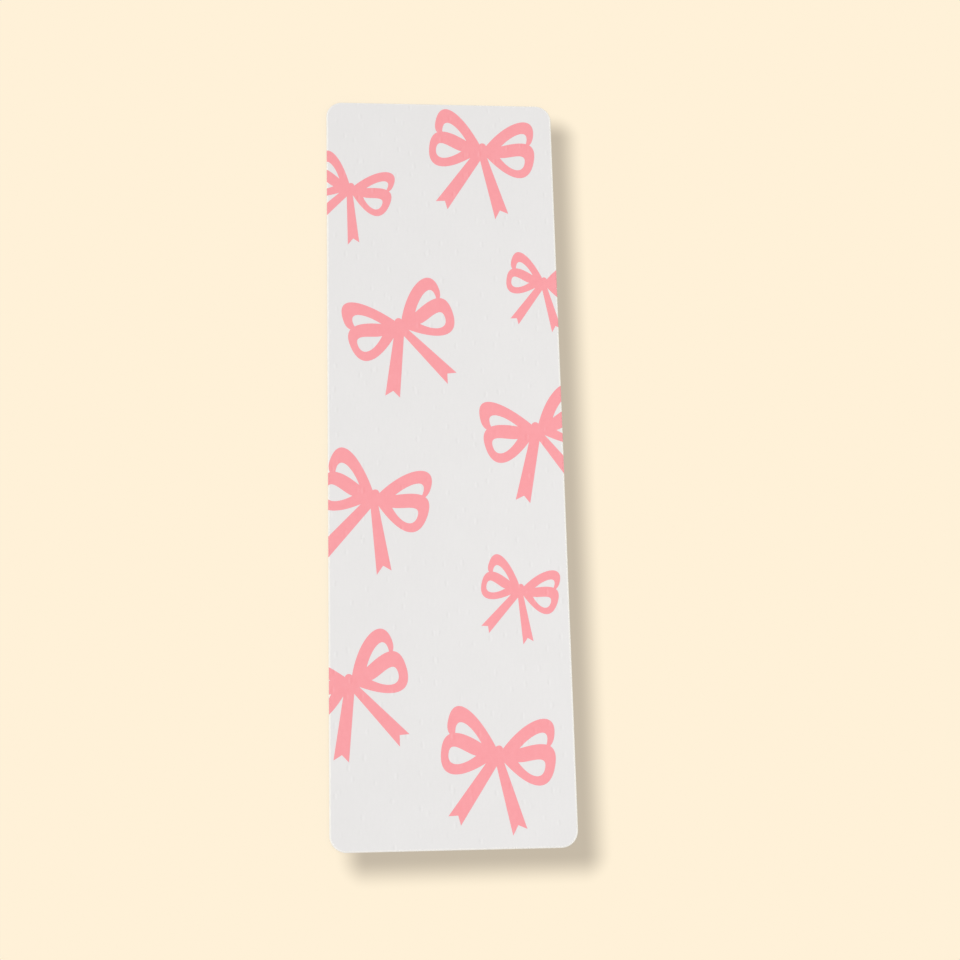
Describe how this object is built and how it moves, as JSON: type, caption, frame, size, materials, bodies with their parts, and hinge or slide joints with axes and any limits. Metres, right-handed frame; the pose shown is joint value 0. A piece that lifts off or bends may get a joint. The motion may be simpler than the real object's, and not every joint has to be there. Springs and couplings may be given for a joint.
{
  "type": "bookmark",
  "caption": "Flat card bookmark with rounded corners and a rolled printed-side edge, printed with ribbon bows; slips between pages to keep a place.",
  "frame": {"origin": "centre of the back face, on the surface that the card lies on", "axes": "+Z out of the printed face, +Y along the card towards the top of the print, +X to the right of the print"},
  "size_m": [0.0508, 0.165, 0.0005],
  "materials": {
    "card_stock": "uncoated off-white card with a fine tooth",
    "pink_ink": "matte pink printing ink"
  },
  "bodies": {
    "root": {"card": "card_stock", "bow_top_right": "pink_ink", "bow_top_left": "pink_ink", "bow_upper_left": "pink_ink", "bow_upper_right": "pink_ink", "bow_middle_right": "pink_ink", "bow_middle_left": "pink_ink", "bow_lower_right": "pink_ink", "bow_lower_left": "pink_ink", "bow_bottom_right": "pink_ink"}
  },
  "joints": []
}
